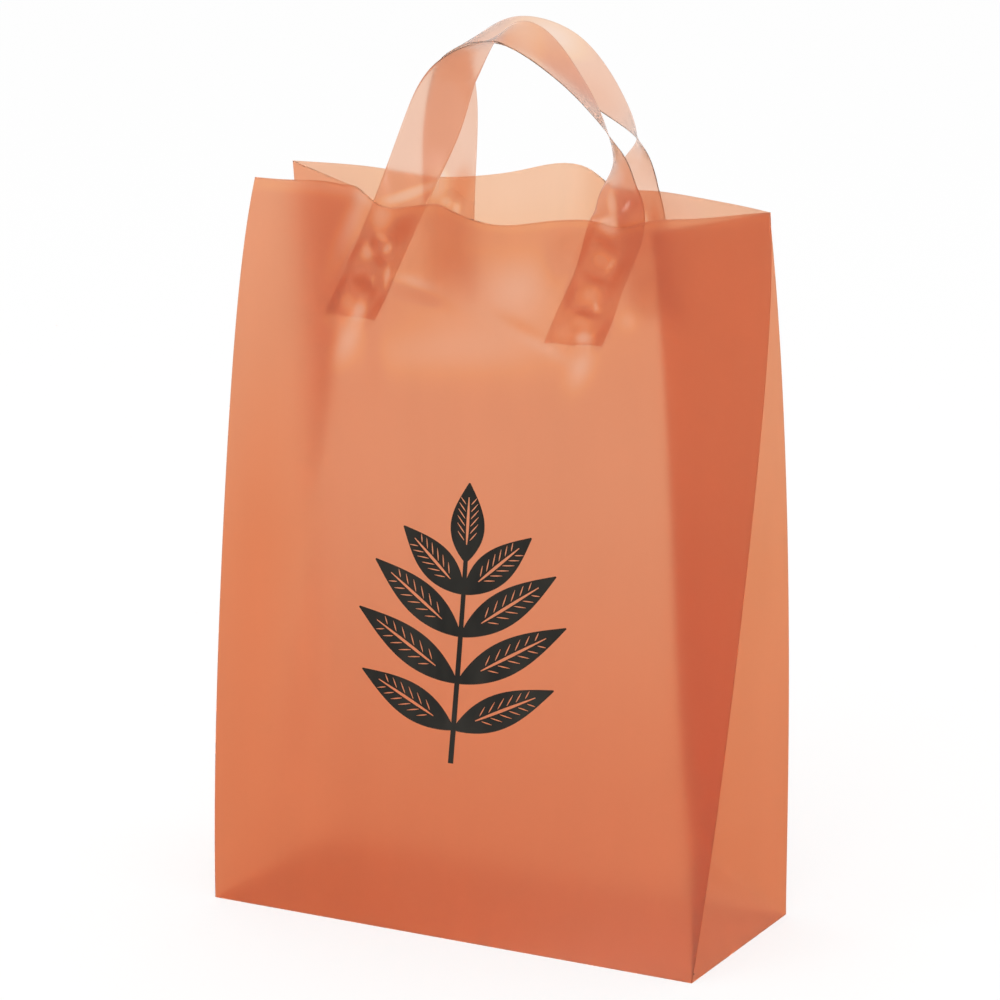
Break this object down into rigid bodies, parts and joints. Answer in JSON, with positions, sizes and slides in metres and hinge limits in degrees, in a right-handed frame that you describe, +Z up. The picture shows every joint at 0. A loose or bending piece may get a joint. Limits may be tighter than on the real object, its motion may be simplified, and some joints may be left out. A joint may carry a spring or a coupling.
{
  "type": "plastic carrier bag",
  "caption": "Standing gusseted bag of frosted film with a folded square bottom and two welded soft loop handles.",
  "frame": {"origin": "middle of the flat base, on the surface that the bag stands on", "axes": "+Z up, front panel towards -Y, +X to the right seen from the front"},
  "size_m": [0.3215, 0.1429, 0.5174],
  "materials": {
    "body_film": "frosted",
    "strap_film": "frosted",
    "ink": "satin"
  },
  "bodies": {
    "root": {"bag_body": "body_film", "front_handle": "strap_film", "back_handle": "strap_film", "printed_sprig": "ink"}
  },
  "joints": []
}
